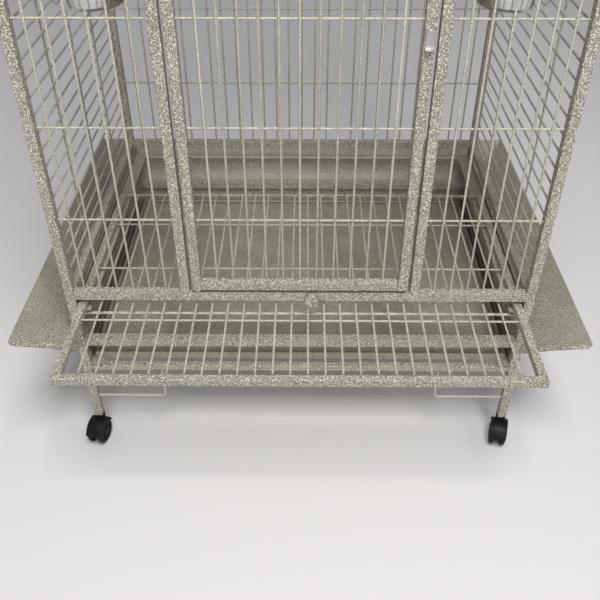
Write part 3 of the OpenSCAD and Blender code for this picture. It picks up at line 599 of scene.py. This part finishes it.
def addTubeSeams(look):
    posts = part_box("corner_posts")
    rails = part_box("main_rails")
    tube = rails[1].z - rails[0].z
    wide = tube + 2 * look["proud"]
    letGo()
    bpy.ops.mesh.primitive_cube_add(size=1, scale=(wide, wide, look["thick"]))
    seam = lastMade()
    pickFaces(seam, lambda face: abs(face.normal.z) > mostly)
    bpy.ops.mesh.inset(thickness=look["proud"], use_individual=True)
    roundOff(seam, look["round"])
    parts = []
    outX, outY = posts[1].x, posts[1].y
    for sx in (-1, 1):
        for sy in (-1, 1):
            for node in ("main_rails", "shoulder_rails", "middle_rails", "bottom_rails"):
                low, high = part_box(node)
                z = (low.z + high.z) / 2
                fit = (high.z - low.z + 2 * look["proud"]) / wide
                fitted = Matrix.Diagonal((fit, fit, 1, 1))
                across = Matrix.Translation((sx * (outX - tube), sy * (outY - tube / 2), z))
                along = Matrix.Translation((sx * (outX - tube / 2), sy * (outY - tube), z))
                parts.append(copyTo(seam, across @ Matrix.Rotation(math.pi / 2, 4, "Y") @ fitted))
                parts.append(copyTo(seam, along @ Matrix.Rotation(math.pi / 2, 4, "X") @ fitted))
            foot = Matrix.Translation((sx * (outX - tube / 2), sy * (outY - tube / 2), posts[1].z))
            parts.append(copyTo(seam, foot))
    bpy.data.objects.remove(seam)
    finishPiece("tube_weld_seams", parts, "cage_frame", "frame_coat")


# Weld along the mitre between the side guards and the rear guard
mitreSeam = {"foot": 0.0125, "rodR": 0.0014, "sides": 10, "flat": 0.6, "endLeft": 0.004, "endInset": 0.4,
             "endRound": 0.3}


def addMitreSeams(look):
    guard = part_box("right_seed_guard")[1]
    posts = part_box("corner_posts")[1]
    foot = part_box("middle_rails")[1].z - look["foot"]
    parts = []
    for side in (-1, 1):
        start = Vector((side * posts.x, posts.y, foot))
        end = Vector((side * guard.x, posts.y + guard.x - posts.x, guard.z))
        run = end - start
        letGo()
        bpy.ops.mesh.primitive_cylinder_add(vertices=look["sides"], radius=look["rodR"],
                                            depth=run.length - 2 * look["endLeft"])
        rod = lastMade()
        pickFaces(rod, lambda face: abs(face.normal.z) > mostly)
        bpy.ops.mesh.inset(thickness=look["rodR"] * look["endInset"], use_individual=True)
        roundOff(rod, look["rodR"] * look["endRound"])
        rod.scale = (1, look["flat"], 1)
        rod.rotation_mode = "QUATERNION"
        rod.rotation_quaternion = run.to_track_quat("Z", "Y")
        rod.location = (start + end) / 2
        parts.append(rod)
    finishPiece("guard_mitre_seams", parts, "cage_frame", "sheet_coat")


# Rolled hem along the front edge of each side guard. It shades the flange that hangs under it.
guardHem = {"foot": 0.0125, "below": 0.0048, "run": 0.078, "rise": 0.076, "high": 0.0074, "deep": 0.0085,
            "sides": 24, "endInset": 0.0010, "taper": 0.6, "round": 0.0006}


def addGuardHems(look):
    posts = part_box("corner_posts")
    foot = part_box("middle_rails")[1].z - look["foot"]
    parts = []
    for side in (-1, 1):
        start = Vector((side * posts[1].x, posts[0].y, foot - look["below"]))
        along = Vector((side * look["run"], -look["run"], look["rise"]))
        letGo()
        bpy.ops.mesh.primitive_cylinder_add(vertices=look["sides"], radius=look["high"], depth=along.length,
                                            scale=(look["deep"] / look["high"], 1, 1))
        hem = lastMade()
        pickFaces(hem, lambda face: face.normal.z > mostly)
        bpy.ops.transform.resize(value=(look["taper"], look["taper"], 1))
        bpy.ops.mesh.inset(thickness=look["endInset"])
        roundOff(hem, look["round"])
        ahead = Vector((-side, -1, 0)).normalized()
        up = along.normalized().cross(ahead)
        turned = Matrix((ahead, up, along.normalized())).transposed().to_4x4()
        hem.matrix_world = Matrix.Translation(start + along / 2) @ turned
        parts.append(hem)
    finishPiece("guard_front_hems", parts, "cage_frame", "frame_coat", smooth=60)


addGratePlugs(gratePlugs)
addGuardHems(guardHem)
addKnobGrip(knobGrip)
for corner in ("front_left", "front_right", "rear_left", "rear_right"):
    addWheelTrim(corner, wheelTrim)
addScrewHeads(screwHeads)
addTrayRim(trayRim)
addWireBeads(weldBead)
for node, body in (("door_latch", "door_latch_body"), ("left_feeder_latch", "left_feeder_latch_body"),
                   ("right_feeder_latch", "right_feeder_latch_body")):
    addLatchTrim(node, body, latchTrim)
for side in ("left", "right"):
    addCupRoll(side, cupRoll)
addTubeSeams(tubeSeam)
addMitreSeams(mitreSeam)
print("details modelled")

# Stage: a plain pale floor
floorLook = {"half": 6.0, "colour": (0.70, 0.68, 0.67), "roughness": 0.85}


def addFloor(look):
    bpy.ops.object.select_all(action="DESELECT")
    bpy.ops.mesh.primitive_plane_add(size=2 * look["half"], location=(0, 0, 0))
    floor = bpy.context.active_object
    floor.name = "floor"
    material, tree, shader = newMaterial("floorPaper")
    shader.inputs["Base Color"].default_value = (*look["colour"], 1)
    shader.inputs["Roughness"].default_value = look["roughness"]
    floor.data.materials.append(material)


addFloor(floorLook)

# Light: a soft sky, a softbox above and in front, and a weaker lamp in front
skySettings = {"colour": (0.95, 0.97, 1.0), "strength": 0.30}

lampSettings = [
    {"name": "softbox", "place": (0.25, -1.7, 3.3), "aim": (0, -0.1, 0.3), "size": 1.1, "power": 105},
    {"name": "frontLamp", "place": (0.5, -5.2, 3.0), "aim": (0, 0, 0.3), "size": 2.2, "power": 75},
]


def addSky(settings):
    world = bpy.data.worlds.new("softSky")
    scene.world = world
    world.use_nodes = True
    background = world.node_tree.nodes["Background"]
    background.inputs["Color"].default_value = (*settings["colour"], 1)
    background.inputs["Strength"].default_value = settings["strength"]


def addLamp(settings):
    lampData = bpy.data.lights.new(settings["name"], "AREA")
    lampData.size = settings["size"]
    lampData.energy = settings["power"]
    lamp = bpy.data.objects.new(settings["name"], lampData)
    scene.collection.objects.link(lamp)
    lamp.location = settings["place"]
    direction = Vector(settings["aim"]) - Vector(settings["place"])
    lamp.rotation_euler = direction.to_track_quat("-Z", "Y").to_euler()


addSky(skySettings)
for settings in lampSettings:
    addLamp(settings)
print("stage and light ready")
